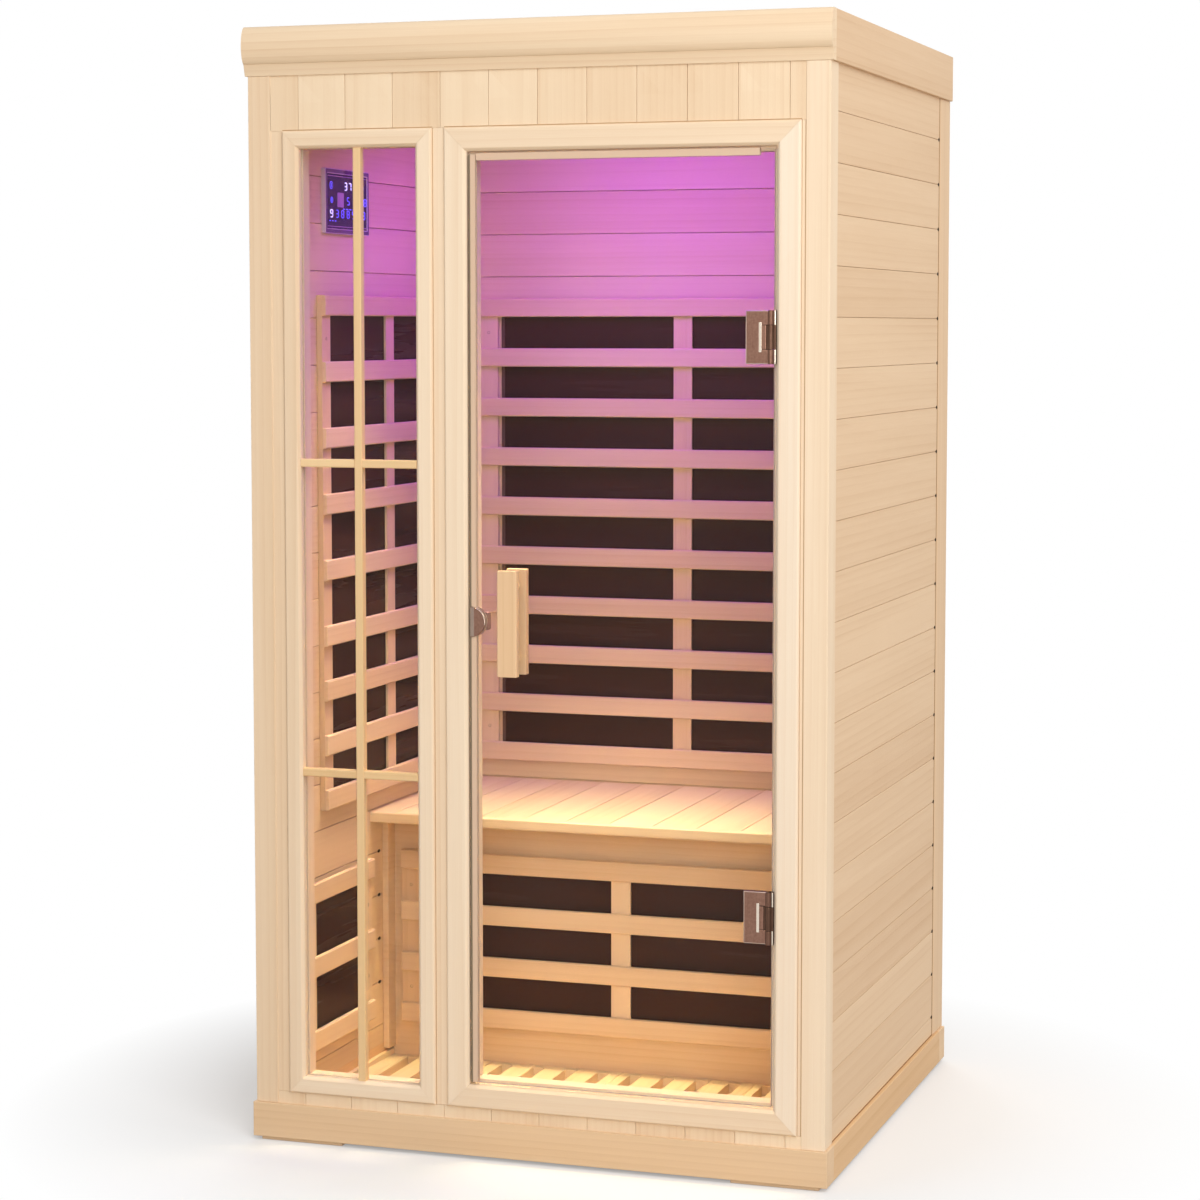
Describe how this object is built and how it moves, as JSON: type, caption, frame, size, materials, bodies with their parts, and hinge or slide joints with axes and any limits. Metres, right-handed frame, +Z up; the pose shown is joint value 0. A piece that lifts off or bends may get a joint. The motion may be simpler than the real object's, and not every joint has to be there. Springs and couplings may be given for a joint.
{
  "type": "infrared sauna cabin",
  "caption": "Free-standing timber cabin for one person, with a hinged glass door, side window, plank bench and flat infrared heaters behind slatted guards.",
  "frame": {"origin": "on the ground, at the middle of the bounding box", "axes": "+X to the right when facing the door, +Y from the door towards the back wall, +Z up"},
  "size_m": [1.018, 0.944, 1.9],
  "materials": {
    "wood": "planed, unvarnished",
    "wood_pale": "planed, unvarnished",
    "wood_warm": "planed, unvarnished",
    "glass": "clear tempered",
    "seal": "translucent, satin",
    "bronze": "brushed bronze",
    "steel": "satin",
    "heater": "smooth dark laminate",
    "control": "smooth",
    "lamp": "diffuse"
  },
  "bodies": {
    "cabin": {"skirt_front": "wood_warm", "skirt_back": "wood_warm", "skirt_left": "wood_warm", "skirt_right": "wood_warm", "floor_deck": "wood", "floor_duckboard": "wood_pale", "rear_post_left": "wood", "rear_post_right": "wood", "left_cladding": "wood", "left_lining": "wood", "right_cladding": "wood", "right_lining": "wood", "back_cladding": "wood", "back_lining": "wood", "front_post_left": "wood_pale", "front_post_right": "wood_pale", "front_mullion": "wood_pale", "front_header": "wood_pale", "front_sill": "wood_pale", "window_frame_bottom": "wood_pale", "window_frame_left": "wood_pale", "window_frame_top": "wood_pale", "window_frame_right": "wood_pale", "window_glass": "glass", "window_muntins": "wood_pale", "door_frame_bottom": "wood_pale", "door_frame_left": "wood_pale", "door_frame_top": "wood_pale", "door_frame_right": "wood_pale", "latch_magnet": "steel", "hinge_lower_frame_leaf": "bronze", "hinge_upper_frame_leaf": "bronze", "crown_front": "wood_pale", "crown_left": "wood", "crown_right": "wood", "ceiling_panel": "wood", "roof_lid": "wood", "bench_seat": "wood_pale", "bench_front_panel": "wood", "back_heater": "heater", "back_guard": "wood", "left_heater": "heater", "left_guard": "wood", "right_heater": "heater", "right_guard": "wood", "leg_heater": "heater", "leg_guard": "wood", "calf_heater": "heater", "calf_guard": "wood", "control_panel": "control", "ceiling_light": "lamp", "power_unit": "steel"},
    "door": {"door_glass": "glass", "door_side_seal": "seal", "door_top_seal": "seal", "latch_clip": "bronze", "handle_outer": "wood_pale", "handle_inner": "wood_pale", "hinge_lower_door_leaf": "bronze", "hinge_upper_door_leaf": "bronze"}
  },
  "joints": [
    {"name": "door_swing", "type": "hinge", "parent": "cabin", "child": "door", "pos_m": [0.409, -0.45, 0.9], "axis": [0, 0, 1], "range_deg": [0, 110]}
  ]
}
